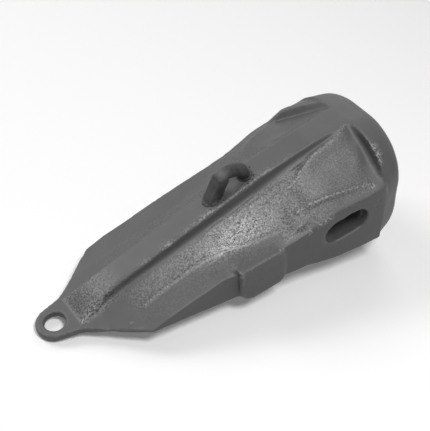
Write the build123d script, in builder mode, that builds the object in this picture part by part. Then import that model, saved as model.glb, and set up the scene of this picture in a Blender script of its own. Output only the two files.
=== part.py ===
from build123d import *
import os
from math import atan2, cos, degrees, sin, sqrt

# A cast steel bucket tooth tip with a lifting eye welded on its rib. Millimetres.
# The tip is drawn in its own slanting frame: x runs back from the centre of the
# ear's hole, y is across, and z is square to the ear, from the ear's middle plane.
# That frame is tipped nose-down, so that the ear's tip and the collar's bottom
# both rest on the ground, Z = 0.

# Front ear
HOLE_RADIUS = 16.0
EAR_RADIUS = 28.6
EAR_HALF = 6.3
NECK_X, NECK_Y = 27.0, 35.5
NECK_FILLET = 30.0
EAR_FLAT_END = 33.0
EAR_TAPER_END = 58.0
EAR_TAPER_HALF = 1.0

# Blade and wedge
BLADE_X, BLADE_HALF_WIDTH = 106.0, 97.0
FOOT_HALF_WIDTH = 22.5
LAND_HALF_WIDTH = 34.0
LAND_START, LAND_START_Z, LAND_DROP = 35.0, -7.7, 0.213

# Places along the wedge: the height of the rib's foot, the flank's middle, its
# lower crease and the upper edge of the side wall there, each as (y, z)
FLANK_STATIONS = [
    (20.0, 3.0, (45.0, 1.6), (60.0, 1.2), (98.0, 0.8)),
    (60.0, 13.5, (40.0, 7.5), (58.0, 2.4), (98.0, 1.0)),
    (106.0, 27.0, (40.0, 19.0), (61.0, 11.0), (97.0, 1.6)),
    (139.0, 35.3, (40.0, 27.0), (61.0, 19.5), (98.5, 10.5)),
    (232.0, 56.7, (40.0, 43.0), (56.0, 35.5), (99.0, 27.0)),
    (262.0, 63.6, (42.0, 48.0), (62.0, 38.5), (104.0, 26.5)),
    (345.0, 83.0, (48.0, 60.0), (82.0, 43.5), (108.0, 34.0)),
    (385.0, 94.0, (48.0, 72.0), (83.0, 51.0), (109.5, 39.0)),
    (404.0, 99.0, (48.0, 84.0), (83.0, 66.5), (110.5, 45.0)),
    (440.0, 106.5, (54.0, 89.0), (92.0, 70.5), (113.5, 54.0)),
    (500.0, 118.0, (58.0, 95.0), (103.0, 66.0), (119.0, 58.0)),
    (532.0, 123.0, (58.0, 99.0), (106.0, 68.0), (120.0, 60.0)),
]

# Rib: place, half width of its flat top, and the top's z
RIB_STATIONS = [
    (30.0, 28.0, 6.0),
    (50.0, 24.0, 20.0),
    (66.0, 21.5, 28.5),
    (90.0, 20.5, 36.5),
    (111.0, 20.5, 43.0),
    (350.0, 20.5, 103.5),
    (455.0, 21.5, 118.5),
    (534.0, 23.5, 124.5),
]
RIB_DRAFT = 0.08

# Rear collar, socket and pin slots
COLLAR_FRONT, COLLAR_REAR = 530.0, 585.0
COLLAR_FRONT_HALVES = (120.0, 124.0)
COLLAR_REAR_HALVES = (102.0, 124.0)
COLLAR_CORNER = 97.0
COLLAR_REAR_ROUND = 34.0
COLLAR_FOOT_X, COLLAR_FOOT_Z = 545.0, -120.5
SOCKET_BOTTOM_X = 262.0
MOUTH_HALVES, MOUTH_CORNER = (74.0, 80.0), 34.0
SEAT_HALVES, SEAT_CORNER = (50.0, 17.0), 12.0
SLOT_X, SLOT_Z = 458.0, 10.5
SLOT_LENGTH, SLOT_HEIGHT, SLOT_TILT = 80.0, 46.0, 8.5

# Boss on the side wall
BOSS_X, BOSS_Z = 297.0, -1.5
BOSS_LENGTH, BOSS_HEIGHT = 86.0, 73.0
BOSS_LOW_FRONT_CORNER, BOSS_REAR_CORNER = 30.0, 14.0
BOSS_FACE_Y, BOSS_DEPTH = 112.0, 26.0

# Lifting eye: a bent round bar, its middle line in the tooth's middle plane
EYE_BAR_RADIUS = 10.0
EYE_POINTS = [(268.0, 61.0), (303.5, 128.0), (335.0, 120.0), (348.0, 86.0)]
EYE_BENDS = [13.0, 13.0]

# Lie of the tooth on the ground
REST_RISE = -(COLLAR_FOOT_Z + EAR_HALF) / (COLLAR_FOOT_X + EAR_RADIUS)
REST_TILT = atan2(REST_RISE, 1.0)
ORIGIN_ALONG = 308.2
FAR = 400.0


def place(x, y, z):
    """A point of the slanting frame, in the frame of the part."""
    ground_x = (x + EAR_RADIUS) * cos(REST_TILT) - (z + EAR_HALF) * sin(REST_TILT)
    ground_z = (x + EAR_RADIUS) * sin(REST_TILT) + (z + EAR_HALF) * cos(REST_TILT)
    return Vector(ground_x - ORIGIN_ALONG, y, ground_z)


ALONG = Vector(cos(REST_TILT), 0, sin(REST_TILT))
SQUARE = Vector(-sin(REST_TILT), 0, cos(REST_TILT))


def across(x):
    """Plane square to the tooth at x: its own axes are the tooth's y and z."""
    return Plane(origin=place(x, 0, 0), x_dir=(0, 1, 0), z_dir=ALONG)


def beside(y):
    """Plane along the tooth at y: its own axes are the tooth's x and z."""
    return Plane(origin=place(0, y, 0), x_dir=ALONG, z_dir=(0, -1, 0))


def above(z):
    """Plane level with the ear at z: its own axes are the tooth's x and y."""
    return Plane(origin=place(0, 0, z), x_dir=ALONG, z_dir=SQUARE)


def land_z(x):
    """Height of the flat land along the underside."""
    return LAND_START_Z - LAND_DROP * (x - LAND_START)


def mirrored(points):
    """The points, and the same ones on the other side in reverse order."""
    return points + [(-y, z) for y, z in reversed(points)]


def wedge_outline(station):
    """The corners of the wedge's section at a station."""
    x, foot_z, middle, crease, edge = station
    land = (LAND_HALF_WIDTH, land_z(x))
    half = [(FOOT_HALF_WIDTH, foot_z), middle, crease, edge]
    half += [(edge[0], -edge[1]), (crease[0], -crease[1]), land]
    return mirrored(half)


def rib_outline(station):
    """The corners of the rib's section at a station."""
    x, half_width, top = station
    return mirrored([(half_width, top), (half_width + RIB_DRAFT * top, 0.0)])


def neck_tangent():
    """Where the neck's straight side touches the ear's round front."""
    reach = sqrt(NECK_X**2 + NECK_Y**2)
    turn = atan2(NECK_Y, NECK_X) + atan2(sqrt(reach**2 - EAR_RADIUS**2), EAR_RADIUS)
    return EAR_RADIUS * cos(turn), EAR_RADIUS * sin(turn)


tangent_x, tangent_y = neck_tangent()

with BuildPart() as tooth_body:
    # Ear, thinned towards the blade
    with BuildSketch(beside(0)):
        with BuildLine():
            Polyline(
                (-EAR_RADIUS - 1, EAR_HALF),
                (EAR_FLAT_END, EAR_HALF),
                (EAR_TAPER_END, EAR_TAPER_HALF),
                (EAR_TAPER_END, -EAR_TAPER_HALF),
                (EAR_FLAT_END, -EAR_HALF),
                (-EAR_RADIUS - 1, -EAR_HALF),
                close=True,
            )
        make_face()
    extrude(amount=BLADE_HALF_WIDTH, both=True)

    # Wedge with its flanks, cheeks and underside
    for station in FLANK_STATIONS:
        with BuildSketch(across(station[0])):
            Polygon(*wedge_outline(station), align=None)
    loft(ruled=True)

    # Outline seen from above: round ear, neck and swept-back front corners
    with BuildSketch(above(0)) as outline:
        Circle(EAR_RADIUS)
        with BuildLine():
            Polyline(
                (tangent_x, tangent_y),
                (NECK_X, NECK_Y),
                (BLADE_X, BLADE_HALF_WIDTH),
                (BLADE_X + 8, FAR),
                (COLLAR_REAR + FAR, FAR),
                (COLLAR_REAR + FAR, -FAR),
                (BLADE_X + 8, -FAR),
                (BLADE_X, -BLADE_HALF_WIDTH),
                (NECK_X, -NECK_Y),
                (tangent_x, -tangent_y),
                close=True,
            )
        make_face()
        necks = [v for v in outline.vertices() if abs(abs(v.Y) - NECK_Y) < 0.5 and v.X < BLADE_X]
        fillet(necks, NECK_FILLET)
    extrude(amount=FAR, both=True, mode=Mode.INTERSECT)

    # Rib
    for station in RIB_STATIONS:
        with BuildSketch(across(station[0])):
            Polygon(*rib_outline(station), align=None)
    loft(ruled=True)

    # Boss on one side wall
    with BuildSketch(beside(-BOSS_FACE_Y)) as boss:
        with Locations((BOSS_X, BOSS_Z)):
            Rectangle(BOSS_LENGTH, BOSS_HEIGHT)
        fillet([v for v in boss.vertices() if v.X < BOSS_X and v.Y < BOSS_Z], BOSS_LOW_FRONT_CORNER)
        rear_end = BOSS_X + BOSS_LENGTH / 2
        fillet([v for v in boss.vertices() if v.X > rear_end - 1], BOSS_REAR_CORNER)
    extrude(amount=-BOSS_DEPTH)

    # Collar
    for x, halves in ((COLLAR_FRONT, COLLAR_FRONT_HALVES), (COLLAR_REAR, COLLAR_REAR_HALVES)):
        with BuildSketch(across(x)):
            RectangleRounded(2 * halves[0], 2 * halves[1], COLLAR_CORNER)
    loft()
    rear_face = tooth_body.faces().sort_by(Axis(place(0, 0, 0), ALONG))[-1]
    fillet(rear_face.outer_wire().edges(), COLLAR_REAR_ROUND)

    # Flat under the collar, on the ground
    with BuildSketch(Plane.XY):
        Rectangle(4 * FAR, 2 * FAR)
    extrude(amount=-FAR, mode=Mode.SUBTRACT)

    # Socket for the adapter's nose, open at the rear
    with BuildSketch(across(COLLAR_REAR)):
        RectangleRounded(2 * MOUTH_HALVES[0], 2 * MOUTH_HALVES[1], MOUTH_CORNER)
    with BuildSketch(across(SOCKET_BOTTOM_X)):
        RectangleRounded(2 * SEAT_HALVES[0], 2 * SEAT_HALVES[1], SEAT_CORNER)
    loft(mode=Mode.SUBTRACT)

    # Pin slot through both side walls
    with BuildSketch(beside(0)):
        with Locations((SLOT_X, SLOT_Z)):
            SlotOverall(SLOT_LENGTH, SLOT_HEIGHT, rotation=SLOT_TILT)
    extrude(amount=FAR, both=True, mode=Mode.SUBTRACT)

    # Hole through the ear
    with BuildSketch(above(0)):
        Circle(HOLE_RADIUS)
    extrude(amount=3 * EAR_HALF, both=True, mode=Mode.SUBTRACT)

with BuildPart() as lifting_eye:
    with BuildLine(beside(0)) as bar_line:
        FilletPolyline(*EYE_POINTS, radius=EYE_BENDS)
    start = bar_line.line @ 0
    with BuildSketch(Plane(origin=start, z_dir=bar_line.line % 0)):
        Circle(EYE_BAR_RADIUS)
    sweep(path=bar_line.line)
    add(tooth_body.part, mode=Mode.SUBTRACT)

os.makedirs("parts", exist_ok=True)
tooth_body.part.label = "tooth_body"
lifting_eye.part.label = "lifting_eye"
export_step(tooth_body.part, "parts/tooth_body.step")
export_step(lifting_eye.part, "parts/lifting_eye.step")
print("rest tilt", degrees(REST_TILT), "box", tooth_body.part.bounding_box())
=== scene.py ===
import math

import bmesh
import bpy
import numpy as np
from mathutils import Euler, Matrix, Vector, noise


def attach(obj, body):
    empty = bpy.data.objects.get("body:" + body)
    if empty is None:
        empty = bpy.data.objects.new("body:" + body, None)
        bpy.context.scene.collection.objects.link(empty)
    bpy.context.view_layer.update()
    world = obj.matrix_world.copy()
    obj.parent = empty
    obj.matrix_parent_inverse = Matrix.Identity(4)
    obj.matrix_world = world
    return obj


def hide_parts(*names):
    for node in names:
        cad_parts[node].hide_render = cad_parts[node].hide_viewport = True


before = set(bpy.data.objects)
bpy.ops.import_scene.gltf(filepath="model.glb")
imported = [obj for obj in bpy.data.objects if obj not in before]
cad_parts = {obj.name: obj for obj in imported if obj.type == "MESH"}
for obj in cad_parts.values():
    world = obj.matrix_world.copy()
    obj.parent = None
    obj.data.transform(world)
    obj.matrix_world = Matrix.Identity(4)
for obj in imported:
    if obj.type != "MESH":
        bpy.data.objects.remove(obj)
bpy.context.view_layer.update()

# The tooth's slanting frame, as in the part's source: x runs back from the centre
# of the ear's hole, y is across, z is square to the ear. Millimetres.
REST_TILT = math.atan2(114.2, 573.6)
EAR_RADIUS, EAR_HALF, ORIGIN_ALONG = 28.6, 6.3, 308.2
COS, SIN = math.cos(REST_TILT), math.sin(REST_TILT)

# Mesh sizes: the remesh voxels in metres, and the casting's triangles at the end
BODY_VOXEL, EYE_VOXEL = 0.0019, 0.0008
BODY_TRIANGLES = 190000


def to_tooth(points):
    """Metres of the part's frame to millimetres of the slanting frame."""
    x = points[:, 0] * 1000 + ORIGIN_ALONG
    z = points[:, 2] * 1000
    return np.stack([x * COS + z * SIN - EAR_RADIUS, points[:, 1] * 1000, z * COS - x * SIN - EAR_HALF], 1)


def to_part(points):
    """Millimetres of the slanting frame to metres of the part's frame."""
    x = points[:, 0] + EAR_RADIUS
    z = points[:, 2] + EAR_HALF
    return np.stack([x * COS - z * SIN - ORIGIN_ALONG, points[:, 1], x * SIN + z * COS], 1) / 1000


# Camera and studio
SENSOR = 36.0
FOCAL_PIXELS, IMAGE_SIDE = 900, 431
CAMERA_PLACE = (-0.71478, -0.78310, 1.00942)
CAMERA_TURN = (49.2055, -7.5888, -35.4999)
FLOOR_SIDE = 14.0
WORLD_LIGHT = 0.12
FLOOR_TONE, FLOOR_SHOWN_TONE, FLOOR_LIFT = 0.5, 0.95, 0.14

# Lamps: name, place, size, watts and what they are aimed at
LAMPS = [
    ("strip", (-0.25, -1.25, 2.6), (0.4, 0.9), 48, (-0.25, -1.25, 0.0)),
    ("back_left", (-1.3, 1.9, 2.1), (1.4, 1.4), 34, (0.0, 0.0, 0.1)),
    ("back_right", (1.5, 1.6, 2.0), (1.4, 1.4), 12, (0.0, 0.0, 0.1)),
]


def make_camera():
    camera = bpy.data.cameras.new("camera")
    camera.sensor_width = SENSOR
    camera.lens = SENSOR * FOCAL_PIXELS / IMAGE_SIDE
    camera.clip_start = 0.01
    camera.clip_end = 50
    holder = bpy.data.objects.new("camera", camera)
    holder.location = CAMERA_PLACE
    holder.rotation_euler = Euler([math.radians(a) for a in CAMERA_TURN])
    bpy.context.scene.collection.objects.link(holder)
    bpy.context.scene.camera = holder


def area_light(name, place, size, power, aim):
    lamp = bpy.data.lights.new(name, "AREA")
    lamp.shape = "RECTANGLE"
    lamp.size, lamp.size_y = size
    lamp.energy = power
    holder = bpy.data.objects.new(name, lamp)
    holder.location = place
    direction = Vector(aim) - Vector(place)
    holder.rotation_euler = direction.to_track_quat("-Z", "Y").to_euler()
    bpy.context.scene.collection.objects.link(holder)


def grey(value):
    return (value, value, value, 1)


def shown_mix(tree, hidden, shown):
    """One grey for light that falls on the part, and another where the camera, metal or glass shows it."""
    nodes, links = tree.nodes, tree.links
    path = nodes.new("ShaderNodeLightPath")
    direct = nodes.new("ShaderNodeMath")
    direct.operation = "MAXIMUM"
    links.new(path.outputs["Is Camera Ray"], direct.inputs[0])
    links.new(path.outputs["Is Transmission Ray"], direct.inputs[1])
    seen = nodes.new("ShaderNodeMath")
    seen.operation = "MAXIMUM"
    links.new(direct.outputs[0], seen.inputs[0])
    links.new(path.outputs["Is Glossy Ray"], seen.inputs[1])
    mix = nodes.new("ShaderNodeMix")
    mix.data_type = "RGBA"
    mix.inputs["A"].default_value = grey(hidden)
    mix.inputs["B"].default_value = grey(shown)
    links.new(seen.outputs[0], mix.inputs["Factor"])
    return seen.outputs[0], mix.outputs["Result"]


def make_studio():
    world = bpy.data.worlds.new("world")
    bpy.context.scene.world = world
    world.use_nodes = True
    background = world.node_tree.nodes["Background"]
    _, colour = shown_mix(world.node_tree, WORLD_LIGHT, 1)
    world.node_tree.links.new(colour, background.inputs["Color"])
    background.inputs["Strength"].default_value = 1.0

    mesh = bpy.data.meshes.new("floor")
    side = FLOOR_SIDE
    corners = [(-side, -side, 0), (side, -side, 0), (side, side, 0), (-side, side, 0)]
    mesh.from_pydata(corners, [], [(0, 1, 2, 3)])
    floor = bpy.data.objects.new("floor", mesh)
    bpy.context.scene.collection.objects.link(floor)
    material = bpy.data.materials.new("floor")
    material.use_nodes = True
    tree = material.node_tree
    shader = tree.nodes["Principled BSDF"]
    shader.inputs["Roughness"].default_value = 0.9
    seen, colour = shown_mix(tree, FLOOR_TONE, FLOOR_SHOWN_TONE)
    lift = tree.nodes.new("ShaderNodeMath")
    lift.operation = "MULTIPLY"
    lift.inputs[1].default_value = FLOOR_LIFT
    tree.links.new(seen, lift.inputs[0])
    tree.links.new(colour, shader.inputs["Base Color"])
    shader.inputs["Emission Color"].default_value = grey(1)
    tree.links.new(lift.outputs[0], shader.inputs["Emission Strength"])
    mesh.materials.append(material)

    for lamp in LAMPS:
        area_light(*lamp)


# Mesh tools
def ramp(values, low, high):
    """0 below low, 1 above high, smooth between."""
    t = np.clip((values - low) / (high - low), 0, 1)
    return t * t * (3 - 2 * t)


def bell(distance, width):
    """1 at no distance, falling smoothly to nothing past the width."""
    return np.exp(-(distance / width) ** 2)


def remeshed(source, voxel):
    """A closed mesh of even squares around the source's mesh."""
    copy = bpy.data.objects.new("copy", source.data.copy())
    bpy.context.scene.collection.objects.link(copy)
    modifier = copy.modifiers.new("remesh", "REMESH")
    modifier.mode = "VOXEL"
    modifier.voxel_size = voxel
    depsgraph = bpy.context.evaluated_depsgraph_get()
    mesh = bpy.data.meshes.new_from_object(copy.evaluated_get(depsgraph))
    bpy.data.objects.remove(copy)
    return mesh


def read_points(mesh):
    points = np.empty(len(mesh.vertices) * 3)
    mesh.vertices.foreach_get("co", points)
    return points.reshape(-1, 3)


def write_points(mesh, points):
    mesh.vertices.foreach_set("co", np.ascontiguousarray(points, dtype=np.float32).ravel())
    mesh.update()


def read_edges(mesh):
    edges = np.empty(len(mesh.edges) * 2, dtype=np.int64)
    mesh.edges.foreach_get("vertices", edges)
    return edges.reshape(-1, 2)


def around(values, edges):
    """The mean of each point's neighbours."""
    count = len(values)
    ends = np.concatenate([edges[:, 0], edges[:, 1]])
    others = np.concatenate([edges[:, 1], edges[:, 0]])
    degree = np.maximum(np.bincount(ends, minlength=count), 1)
    if values.ndim == 1:
        return np.bincount(ends, weights=values[others], minlength=count) / degree
    sums = [np.bincount(ends, weights=values[others, k], minlength=count) for k in range(3)]
    return np.stack([total / degree for total in sums], 1)


def relax(points, edges, weight, rounds):
    """Moves each point towards its neighbours' mean, rounds times."""
    weight = np.broadcast_to(weight, len(points))[:, None]
    for _ in range(rounds):
        points = points + weight * (around(points, edges) - points)
    return points


def point_normals(mesh):
    normals = np.empty(len(mesh.vertices) * 3)
    mesh.vertices.foreach_get("normal", normals)
    return normals.reshape(-1, 3)


def point_noise(points, scale, shift=(0, 0, 0)):
    """Smooth noise at each point, from about -1 to 1."""
    return np.array([noise.noise(Vector(p) * scale + Vector(shift)) for p in points])


def add_values(mesh, name, values):
    attribute = mesh.attributes.new(name, "FLOAT", "POINT")
    attribute.data.foreach_set("value", np.ascontiguousarray(values, dtype=np.float32))


def add_piece(name, mesh, material, replaced):
    piece = bpy.data.objects.new(name, mesh)
    bpy.context.scene.collection.objects.link(piece)
    mesh.materials.clear()
    mesh.materials.append(material)
    mesh.polygons.foreach_set("use_smooth", np.ones(len(mesh.polygons), dtype=bool))
    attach(piece, "root")
    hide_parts(replaced)
    return piece


# Materials
def new_material(name):
    material = bpy.data.materials.new(name)
    material.use_nodes = True
    return material, material.node_tree.nodes, material.node_tree.links


def add_bump(nodes, links, height, strength, distance):
    bump = nodes.new("ShaderNodeBump")
    bump.inputs["Strength"].default_value = strength
    bump.inputs["Distance"].default_value = distance
    links.new(height, bump.inputs["Height"])
    links.new(bump.outputs["Normal"], nodes["Principled BSDF"].inputs["Normal"])


def casting_material():
    """Dark steel: matt where smooth, glossier and speckled where the surface is grainy or rubbed; its
    colour also carries painted highlight specks on the near flank.
    """
    material, nodes, links = new_material("casting")
    shader = nodes["Principled BSDF"]
    place = nodes.new("ShaderNodeTexCoord").outputs["Object"]

    def value_noise(scale, detail, roughness=0.5):
        node = nodes.new("ShaderNodeTexNoise")
        node.inputs["Scale"].default_value = scale
        node.inputs["Detail"].default_value = detail
        node.inputs["Roughness"].default_value = roughness
        links.new(place, node.inputs["Vector"])
        return node.outputs["Fac"]

    def mapped(value, low, high, to_low, to_high):
        node = nodes.new("ShaderNodeMapRange")
        for key, number in zip(("From Min", "From Max", "To Min", "To Max"), (low, high, to_low, to_high)):
            node.inputs[key].default_value = number
        links.new(value, node.inputs["Value"])
        return node.outputs["Result"]

    def math_node(operation, first, second):
        node = nodes.new("ShaderNodeMath")
        node.operation = operation
        for socket, value in zip(node.inputs, (first, second)):
            if isinstance(value, (int, float)):
                socket.default_value = value
            else:
                links.new(value, socket)
        return node.outputs[0]

    def plus(first, second):
        return math_node("ADD", first, second)

    def minus(first, second):
        return math_node("SUBTRACT", first, second)

    def times(first, second):
        return math_node("MULTIPLY", first, second)

    def attribute(name):
        node = nodes.new("ShaderNodeAttribute")
        node.attribute_name = name
        return node.outputs["Fac"]

    grain, wear, shine, rubbed_and_painted_light = (attribute(name) for name in ("grain", "wear", "shine", "rubbed_and_painted_light"))
    fine = value_noise(560.0, 2.0, 0.6)
    middle = value_noise(150.0, 4.0, 0.6)
    broad = value_noise(14.0, 3.0, 0.5)
    speck = mapped(value_noise(330.0, 2.0, 0.6), 0.46, 0.60, 0.0, 1.0)
    dust = mapped(value_noise(400.0, 1.0, 0.5), 0.42, 0.58, -0.052, 0.066)

    tone = mapped(broad, 0.35, 0.65, 0.050, 0.058)
    tone = plus(tone, mapped(middle, 0.3, 0.7, -0.006, 0.006))
    # Rubbed specks, and painted highlight specks where the near flank's highlight lies.
    tone = plus(tone, times(times(rubbed_and_painted_light, speck), 0.33))
    tone = plus(tone, times(times(wear, speck), 0.04))
    tone = plus(tone, times(wear, 0.012))
    tone = plus(tone, times(times(grain, speck), 0.03))
    tone = plus(tone, times(grain, plus(dust, 0.008)))
    colour = nodes.new("ShaderNodeCombineColor")
    for name in ("Red", "Green", "Blue"):
        links.new(tone, colour.inputs[name])
    links.new(colour.outputs["Color"], shader.inputs["Base Color"])

    rough = mapped(middle, 0.3, 0.7, 0.50, 0.58)
    rough = minus(rough, times(grain, 0.12))
    rough = minus(rough, times(shine, 0.21))
    links.new(rough, shader.inputs["Roughness"])
    shader.inputs["Specular IOR Level"].default_value = 0.7

    fine_height = times(fine, plus(times(grain, 2.8), 0.12))
    middle_height = times(middle, plus(times(grain, 0.35), 0.12))
    add_bump(nodes, links, plus(fine_height, middle_height), 1.0, 0.0002)
    return material


def bar_material():
    """Darker steel, lighter where rubbed and on the weld, and on the front leg as painted light; black as
    painted shade under the rear end and inside the loop.
    """
    material, nodes, links = new_material("eye_bar")
    shader = nodes["Principled BSDF"]
    place = nodes.new("ShaderNodeTexCoord").outputs["Object"]
    grain = nodes.new("ShaderNodeTexNoise")
    grain.inputs["Scale"].default_value = 260.0
    grain.inputs["Detail"].default_value = 4.0
    links.new(place, grain.inputs["Vector"])
    tone = nodes.new("ShaderNodeValToRGB")
    for element, position, value in zip(tone.color_ramp.elements, (0.35, 0.7), (0.018, 0.05)):
        element.position = position
        element.color = grey(value)
    links.new(grain.outputs["Fac"], tone.inputs["Fac"])
    colour = tone.outputs["Color"]
    # The first mask is rubbed wear plus painted light, the last one painted shade.
    for name, value in (("rubbed_and_painted_light", 0.15), ("weld", 0.06), ("painted_shade", 0.006)):
        where = nodes.new("ShaderNodeAttribute")
        where.attribute_name = name
        mix = nodes.new("ShaderNodeMix")
        mix.data_type = "RGBA"
        mix.inputs["B"].default_value = grey(value)
        links.new(where.outputs["Fac"], mix.inputs["Factor"])
        links.new(colour, mix.inputs["A"])
        colour = mix.outputs["Result"]
    links.new(colour, shader.inputs["Base Color"])
    rough = nodes.new("ShaderNodeMapRange")
    rough.inputs["To Min"].default_value = 0.45
    rough.inputs["To Max"].default_value = 0.75
    links.new(grain.outputs["Fac"], rough.inputs["Value"])
    links.new(rough.outputs["Result"], shader.inputs["Roughness"])
    shader.inputs["Specular IOR Level"].default_value = 0.35
    add_bump(nodes, links, grain.outputs["Fac"], 0.6, 0.001)
    return material


# Lines of the casting in the slanting frame, as (x, y). Both flanks carry them, with y to either side.
CREASE = [(118, 60), (139, 58), (183, 56), (231, 53), (268, 60), (291, 69), (310, 74), (345, 80)]
PANEL_TOP = [(391, 46), (410, 42), (445, 31), (491, 28), (522, 23)]
PANEL_FRONT = [(391, 46), (384, 60), (386, 77)]
PANEL_FOOT = [(386, 77), (407, 83), (457, 94), (507, 104)]
BEVEL_FRONT = [(386, 77), (390, 90), (385, 107)]

# Where the flanks' rear facets start, and the foot of the far cheek's swell, as (y, x)
PANEL_BACK = [(30, 527), (51, 521), (68, 509), (86, 496)]
SWELL_FOOT = [(30, 526), (51, 520), (68, 507), (86, 492), (104, 474)]

# Lines on the near side only
NOSE_EDGE = [(31, 27), (50, 24), (70, 21.5)]
UPPER_MARK = [(346, 40), (362, 39), (384, 39)]

# Scratches and seams beside the rib's near foot: line, height, half width
SCRATCHES = [
    ([(234, 29), (250, 27), (267, 25.5), (282, 26)], 0.6, 1.0),
    ([(290, 27), (315, 26.4), (338, 25.5)], 0.6, 1.0),
    ([(301, 32), (317, 31), (336, 33), (352, 32)], -0.5, 1.0),
    ([(258, 36), (275, 34), (296, 35)], -0.4, 1.0),
]

# Places where the near side's edges are rubbed bright: x, y, z, reach
RUBBED = [
    (536.5, -76, 107, 6), (536, -86, 99, 6), (533, -94, 92, 5), (509, -108, 65, 5),
    (405, -110, 45, 5), (414, -110.5, 47, 5), (424, -111, 50, 5), (386, -109, 40, 4), (333, -108, 33, 4),
    (257, -108, 27, 5), (90, -69, 6, 2),
]

# Small dents in the near side wall and blade: x, y, z, reach
DENTS = [(518, -119.6, 36, 2.6), (513, -119.4, 26, 2.4), (88, -69, 6, 2.2), (240, -99, 10, 3.0)]
DENT_DEPTH = 1.3

# Small pits in the near flank's highlight: how many, and their seed, middle and spread as (x, y)
PITS, PIT_SEED = 70, 5
PIT_MIDDLE, PIT_SPREAD = (296, 50), (34, 9)

# The highlight's own middle and reach, as (x, y)
SHINE_MIDDLE, SHINE_REACH = (290, 52), (62, 20)

# Heights and depths of the flanks' low forms
RIDGE_HEIGHT, VALLEY_DEPTH, BACK_DEPTH = 2.4, 3.0, 1.6
FOOT_HEIGHT, BEVEL_HEIGHT, MARK_HEIGHT = 1.5, 0.8, 0.5
NOSE_HEIGHT, FULL_HEIGHT, FIN_HEIGHT = 0.9, 2.5, 1.6

# The far cheek rises this share of the way to the collar, over gaps up to the limit
SWELL_SHARE, SWELL_LIMIT = 0.86, 26

# Heights between which the lower half gives way to the upper one
UPPER_FROM, UPPER_FULL = -5, 5

# The solid's own sizes: the collar's round shoulder, the rib's draft and the height of the rib's top
COLLAR_CORNER, COLLAR_CORNER_Y, COLLAR_CORNER_Z = 97, 23, 27
RIB_DRAFT = 0.08
RIB_TOP = [(30, 6), (50, 20), (66, 28.5), (90, 36.5), (111, 43), (350, 103.5), (455, 118.5), (534, 124.5)]


def along_table(values, table):
    return np.interp(values, *zip(*table))


def wall_edge(x):
    """Half width of the tooth at the side wall's upper edge."""
    return np.interp(x, [0, 106, 232, 262, 345, 404, 500, 532], [97, 97, 99, 104, 108, 110.5, 119, 120])


def rib_half(x):
    """Half width of the rib's top."""
    return np.interp(x, [30, 66, 350, 455, 534], [28, 21.5, 20.5, 21.5, 23.5])


def upper(z):
    """1 on the tooth's upper half, 0 on its lower half."""
    return ramp(z, UPPER_FROM, UPPER_FULL)


def near_side(y):
    """1 on the side towards the camera, 0 on the other."""
    return np.where(y < 0, 1.0, 0.0)


def off_line(x, across, line):
    """Distance of each point from a line of straight runs, seen square to the ear."""
    nearest = np.full(len(x), 1e9)
    for (x0, y0), (x1, y1) in zip(line[:-1], line[1:]):
        run = (x1 - x0) ** 2 + (y1 - y0) ** 2
        t = np.clip(((x - x0) * (x1 - x0) + (across - y0) * (y1 - y0)) / run, 0, 1)
        nearest = np.minimum(nearest, np.hypot(x - x0 - t * (x1 - x0), across - y0 - t * (y1 - y0)))
    return nearest


def near_spot(x, y, z, spot, reach):
    """1 at the spot, falling smoothly to nothing past the reach."""
    return np.exp(-((x - spot[0]) ** 2 + (y - spot[1]) ** 2 + (z - spot[2]) ** 2) / reach ** 2)


def smooth_body(points, edges):
    """Rounds the casting's edges and lets its flanks flow; also gives the flanks' mask."""
    firm = 0.35 + 0.25 * ramp(points[:, 0], 30, 60)
    at_edge = bell(np.abs(points[:, 1]) - wall_edge(points[:, 0]), 6)
    firm *= 1 - 0.5 * at_edge * (points[:, 2] > -5)
    points = relax(points, edges, firm, 7)
    x, y, z = points.T
    across = np.abs(y)
    top = upper(z)
    body_part = ramp(x, 60, 100) * (1 - ramp(x, 505, 522))

    # The flanks flow between the rib's foot and the wall's edge; their creases stay.
    inner = ramp(across, rib_half(x) + 3.5, rib_half(x) + 11)
    outer = 1 - ramp(across, wall_edge(x) - 9, wall_edge(x) - 3)
    flank = inner * outer * ramp(x, 90, 120) * (1 - ramp(x, 505, 522)) * top
    kept = np.ones(len(x))
    for line, keep in ((CREASE[:4], 4), (PANEL_TOP[2:], 6), (PANEL_FOOT[1:], 6)):
        kept = np.minimum(kept, ramp(off_line(x, across, line), 0.5, keep))
    points = relax(points, edges, 0.6 * flank * kept, 90)
    points = relax(points, edges, 0.6 * flank, 12)
    front = bell(off_line(x, across, PANEL_FRONT), 22) * flank
    points = relax(points, edges, 0.65 * front, 110)

    # The rib's near wall fades out at its front end, and the collar's front is soft.
    nose = ramp(x, 27, 33) * (1 - ramp(x, 58, 70)) * ramp(-y, 19, 23) * (1 - ramp(-y, 33, 38)) * top
    points = relax(points, edges, 0.6 * nose, 40)
    step = bell(x - 529, 7) * top
    points = relax(points, edges, 0.5 * step, 14)

    # The far cheek swells up to the collar.
    sideways = np.clip(points[:, 1] - COLLAR_CORNER_Y, 0, COLLAR_CORNER)
    collar_top = COLLAR_CORNER_Z + np.sqrt(COLLAR_CORNER ** 2 - sideways ** 2)
    swell_foot = along_table(y, SWELL_FOOT)
    swell = ramp(x, swell_foot - 3, swell_foot + 11) * (1 - ramp(x, 531, 536)) * ramp(y, 26, 40) * (z > 40)
    points[:, 2] += SWELL_SHARE * np.clip(collar_top - points[:, 2], 0, SWELL_LIMIT) * swell
    soft = ramp(x, swell_foot - 8, swell_foot + 8) * (1 - ramp(x, 530, 540)) * ramp(y, 30, 50) * (z > 40)
    points = relax(points, edges, 0.6 * soft, 18)
    under = (1 - ramp(across, 92, 100)) * body_part * (1 - ramp(z, -8, -3))
    points = relax(points, edges, 0.55 * under, 60)
    return points, (x, y, z), flank


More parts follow.
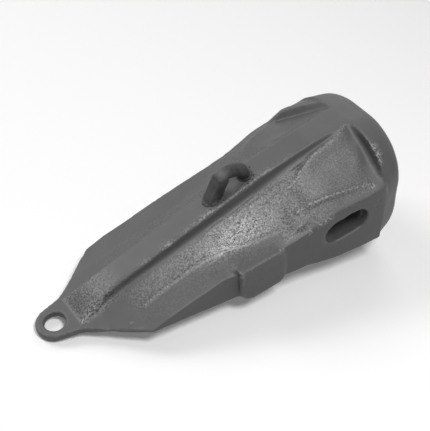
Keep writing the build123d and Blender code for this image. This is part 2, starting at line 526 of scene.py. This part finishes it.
def raised_forms(x, y, z):
    """Height of the ridges, hollows, fills and scratches, and the nose edge's own mask."""
    across = np.abs(y)
    top = upper(z)
    near = near_side(y)
    side = 0.45 + 0.55 * near
    rise = np.interp(x, [118, 230, 262, 310, 345], [0.8, 0.8, 0.1, 0.3, 0.6])
    rise *= bell(off_line(x, across, CREASE), 2.0) * side

    # The panel's top ridge, with the hollow strip between it and the rib's foot
    ridge = off_line(x, across, PANEL_TOP)
    panel_top = along_table(x, PANEL_TOP)
    along = ramp(x, 390, 440) * (1 - ramp(x, 512, 526))
    rise += RIDGE_HEIGHT * np.exp(-np.where(across < panel_top, ridge / 3.0, ridge / 14.0) ** 2) * along
    foot = rib_half(x) + RIB_DRAFT * along_table(x, RIB_TOP[4:])
    inner_end = np.minimum(np.maximum(panel_top - 14, foot + 1), panel_top - 2)
    rise -= (VALLEY_DEPTH * ramp(across, foot - 1, foot + 2)
             * (1 - ramp(across, inner_end, panel_top - 0.5)) * along)
    rise += FOOT_HEIGHT * bell(off_line(x, across, PANEL_FOOT), 3.5)
    rise += BEVEL_HEIGHT * bell(off_line(x, across, BEVEL_FRONT), 4.0)
    rise += MARK_HEIGHT * bell(off_line(x, across, UPPER_MARK), 1.6) * near
    nose_edge = bell(off_line(x, across, NOSE_EDGE), 1.8) * near * top
    back = along_table(across, PANEL_BACK)
    rise -= (BACK_DEPTH * ramp(x, back - 1, back + 22) * ramp(across, 26, 38)
             * (1 - ramp(across, 92, 104)) * (x < 531))
    rise *= top * (x > 60)
    rise += NOSE_HEIGHT * nose_edge

    # The flank's middle is fuller, and so is the panel's front end.
    full = ramp(x, 170, 240) * (1 - ramp(x, 325, 380)) * top
    rise += FULL_HEIGHT * bell(across - 47, 14) * full
    in_from_wall = 1 - ramp(across, 94, 105)
    outward = ramp(across, 48, 80) * in_from_wall * top
    rise += (1.0 + 2.5 * outward) * bell(x - 378, 15) * ramp(across, 36, 48) * in_from_wall * top
    for line, high, wide in SCRATCHES:
        rise += high * bell(off_line(x, across, line), wide) * near * top
    fin = bell(x - 257.5, 1.6) * ramp(z, 6, 14) * (1 - ramp(z, 33, 38)) * near * ramp(across, 100, 104)
    rise += FIN_HEIGHT * fin
    return rise, nose_edge


def grainy(x, y, z, flank):
    """How grainy the surface is: most on the near flank and the rib's front end."""
    across = np.abs(y)
    near = near_side(y)
    bevel = (1 - ramp(x, 70, 120)) * ramp(x, 26, 32) * (1 - ramp(across, 28, 34)) * upper(z)
    boss = (y < -107) * ramp(x, 252, 258) * (1 - ramp(x, 334, 342)) * 0.12
    outside = ramp(across - along_table(x, CREASE), 0, 6) * (x < 345)
    rear = 1 - ramp(x, 395, 440) * 0.55
    of_flank = (0.3 + 0.7 * near) * flank * (0.7 + 0.3 * ramp(x, 120, 220)) * rear * (1 - outside * 0.75)
    return np.clip(boss + of_flank + 0.85 * bevel, 0, 1)


def rubbed_and_painted_highlight(x, y, z, lumps, shine, nose_edge):
    """Where the casting is rubbed to bright specks, and where the near flank's highlight is painted in as
    bright specks.
    """
    across = np.abs(y)
    top = upper(z)
    near = near_side(y)
    rubbed_and_painted_light = np.zeros(len(x))
    for *spot, reach in RUBBED:
        rubbed_and_painted_light = np.maximum(rubbed_and_painted_light, near_spot(x, y, z, spot, reach))
    inward = rib_half(x) - across
    rib_edge = np.where(inward > 2, bell(inward - 2, 6.0), bell(inward - 2, 2.0))
    rib_edge *= np.clip(0.75 + 1.4 * lumps, 0.2, 1.4)
    rib_edge *= (np.abs(z - along_table(x, RIB_TOP)) < 4) * near
    for band in (
        rib_edge * ramp(x, 120, 180) * (1 - ramp(x, 380, 430)) * 0.55,
        rib_edge * ramp(x, 28, 32) * (1 - ramp(x, 75, 90)) * 0.5,
        0.5 * bell(off_line(x, across, PANEL_FOOT), 2.4) * top * near,
        0.5 * bell(off_line(x, across, PANEL_TOP), 2.4) * top * near,
        # Painted highlight: the near flank's highlight, painted into the colour.
        shine * near,
        0.7 * nose_edge,
        0.4 * bell(off_line(x, across, CREASE[:5]), 1.6) * top * near,
    ):
        rubbed_and_painted_light = np.maximum(rubbed_and_painted_light, band)
    return rubbed_and_painted_light


def make_body():
    mesh = remeshed(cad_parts["tooth_body"], BODY_VOXEL)
    edges = read_edges(mesh)
    points, (x, y, z), flank = smooth_body(to_tooth(read_points(mesh)), edges)
    across = np.abs(y)
    top = upper(z)
    near = near_side(y)
    rise, nose_edge = raised_forms(x, y, z)

    write_points(mesh, to_part(points))
    normals = point_normals(mesh)
    fine = point_noise(points, 0.22)
    lumps = point_noise(points, 0.045, (7, 3, 1))
    (shine_x, shine_y), (reach_x, reach_y) = SHINE_MIDDLE, SHINE_REACH
    # The near flank's highlight: it makes the surface glossier and, through the rubbed mask, is also
    # painted in as painted highlight.
    shine = np.exp(-((x - shine_x) / reach_x) ** 2 - ((across - shine_y) / reach_y) ** 2) * top * flank
    grain = grainy(x, y, z, flank)

    # The cast surface is uneven, less so inside the socket.
    inside = (across < 76) & (np.abs(z) < 82) & (x > 255) & (z < np.interp(x, [255, 590], [25, 84]))
    rise += (0.16 * fine * (0.4 + grain) + 0.4 * lumps * ramp(x, 40, 80)) * np.where(inside, 0.5, 1)
    chance = np.random.default_rng(PIT_SEED)
    for _ in range(PITS):
        place = [chance.normal(middle, spread) for middle, spread in zip(PIT_MIDDLE, PIT_SPREAD)]
        size = chance.uniform(1.0, 1.9)
        far = np.hypot((x - place[0]) / 1.3, across - place[1])
        rise -= chance.uniform(0.25, 0.8) * bell(far, size) * top * near
    for *spot, reach in DENTS:
        rise -= DENT_DEPTH * near_spot(x, y, z, spot, reach)
    points = to_part(points) + normals * rise[:, None] / 1000
    write_points(mesh, points)

    # Convex edges are worn lighter, but not the blade's side edges.
    bend = np.einsum("ij,ij->i", points - around(points, edges), point_normals(mesh)) * 1000
    for _ in range(5):
        bend = around(bend, edges)
    wall = bell(across - wall_edge(x), 6) * (z > -5)
    add_values(mesh, "wear", np.clip(bend * 7 - 0.15, 0, 1) * (1 - 0.8 * wall * (x < 250)))
    # This mask holds rubbed wear and the near flank's painted highlight.
    add_values(mesh, "rubbed_and_painted_light", rubbed_and_painted_highlight(x, y, z, lumps, shine, nose_edge))
    add_values(mesh, "grain", grain)
    add_values(mesh, "shine", shine * near)
    piece = add_piece("casting", mesh, casting_material(), "tooth_body")
    fewer = piece.modifiers.new("fewer", "DECIMATE")
    fewer.ratio = BODY_TRIANGLES / (2 * len(mesh.polygons))
    depsgraph = bpy.context.evaluated_depsgraph_get()
    slim = bpy.data.meshes.new_from_object(piece.evaluated_get(depsgraph))
    piece.modifiers.clear()
    piece.data = slim


# Lifting eye: where the bar's two feet meet the rib's top, as x, z and half length along the rib
FEET = [(281.3, 86.1, 13.5), (342.1, 101.5, 10.5)]
FOOT_WIDTH = 10.4
RIB_RUN = (0.9694, 0.2454)
RIB_SLOPE = 0.2532
BEADS, SPATTER, WELD_SEED = 17, 5, 11

# The squared front leg: its middle, its direction as (x, z) and its half sizes in metres
LEG_MIDDLE = (290.0, 0, 102.6)
LEG_RUN = (0.468, 0.884)
LEG_HALVES = (0.0094, 0.0096, 0.0216)


def make_eye():
    """The bar with a bead of weld round each foot, in one mesh."""
    shape = bmesh.new()
    shape.from_mesh(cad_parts["lifting_eye"].data)
    chance = np.random.default_rng(WELD_SEED)

    def blob(centre, radii, turn):
        """A squashed ball that lies on the rib's slope, with its long way turned by an angle."""
        middle = Vector(to_part(np.array([centre]))[0])
        square = Matrix.Rotation(-REST_TILT - math.atan2(RIB_RUN[1], RIB_RUN[0]), 4, "Y")
        size = Matrix.Diagonal((radii[0] / 1000, radii[1] / 1000, radii[2] / 1000, 1))
        bmesh.ops.create_icosphere(
            shape, subdivisions=3, radius=1.0,
            matrix=Matrix.Translation(middle) @ square @ Matrix.Rotation(turn, 4, "Z") @ size)

    leg = Matrix.Rotation(math.atan2(*LEG_RUN) - REST_TILT, 4, "Y")
    middle = Vector(to_part(np.array([LEG_MIDDLE]))[0])
    bmesh.ops.create_cube(
        shape, size=2.0, matrix=Matrix.Translation(middle) @ leg @ Matrix.Diagonal((*LEG_HALVES, 1)))
    for foot_x, foot_z, half in FEET:
        blob((foot_x, 0, foot_z), (half + 0.5, FOOT_WIDTH, 2.0), 0.0)
        for k in range(BEADS):
            turn = 2 * math.pi * (k + chance.uniform(-0.15, 0.15)) / BEADS
            along, aside = (half + 0.6) * math.cos(turn), FOOT_WIDTH * math.sin(turn)
            height = foot_z + along * RIB_RUN[1] + chance.uniform(-0.3, 0.4)
            centre = (foot_x + along * RIB_RUN[0], aside, height)
            blob(centre, chance.uniform((2.0, 2.2, 1.8), (3.2, 3.2, 2.8)), turn)
        for _ in range(SPATTER):
            turn, off = chance.uniform(0, 2 * math.pi), chance.uniform(1.35, 1.75)
            along, aside = half * off * math.cos(turn), 11.0 * off * math.sin(turn)
            size = chance.uniform(0.9, 1.6)
            centre = (foot_x + along * RIB_RUN[0], aside, foot_z + along * RIB_RUN[1] + 0.3)
            blob(centre, (size, size, size), 0.0)
    joined = bpy.data.meshes.new("lifting_eye_joined")
    shape.to_mesh(joined)
    shape.free()
    holder = bpy.data.objects.new("joined", joined)
    mesh = remeshed(holder, EYE_VOXEL)
    bpy.data.objects.remove(holder)

    edges = read_edges(mesh)
    points = relax(to_tooth(read_points(mesh)), edges, 0.5, 3)
    x, y, z = points.T
    write_points(mesh, to_part(points))
    normals = point_normals(mesh)
    fine = point_noise(points, 0.5)
    lumps = point_noise(points, 0.11, (3, 5, 9))
    first_x, first_z, _ = FEET[0]
    above = z - (first_z + (x - first_x) * RIB_SLOPE)
    weld = 1 - ramp(above, 4, 8)
    rise = 0.35 * lumps + 0.16 * fine * (1 + 1.5 * weld)
    points = to_part(points) + normals * rise[:, None] / 1000
    write_points(mesh, points)

    # The bar is rubbed at its front bend and, less, on its rear leg; its front leg is painted lighter, as
    # painted light. Painted shade blackens it under the rear end and low inside the loop.
    rubbed_and_painted_light = np.exp(-(((x - 299) / 9) ** 2 + ((y + 3) / 11) ** 2 + ((z - 130) / 7) ** 2))
    # Painted light: the front leg is made lighter.
    rubbed_and_painted_light = np.maximum(rubbed_and_painted_light, 0.26 * (1 - ramp(x, 300, 312)) * ramp(z, 86, 92) * (1 - ramp(z, 118, 128)))
    rubbed_and_painted_light = np.maximum(rubbed_and_painted_light, 0.16 * ramp(x, 324, 332) * ramp(z, 102, 108))
    # Painted shade under the rear end and low inside the loop.
    painted_shade = np.exp(-(((x - 338) / 8) ** 2 + ((y + 8) / 9) ** 2 + ((z - 104) / 9) ** 2))
    painted_shade = np.maximum(painted_shade, ramp(x, 279, 290) * (1 - ramp(z, 108, 122)) * (x < 318) * 0.6)
    add_values(mesh, "painted_shade", np.clip(painted_shade * 1.3, 0, 1))
    add_values(mesh, "weld", weld)
    add_values(mesh, "rubbed_and_painted_light", rubbed_and_painted_light)
    add_piece("lifting_eye_welded", mesh, bar_material(), "lifting_eye")


make_camera()
make_studio()
make_body()
make_eye()

scene = bpy.context.scene
scene.view_settings.view_transform = "Standard"
bpy.context.view_layer.update()
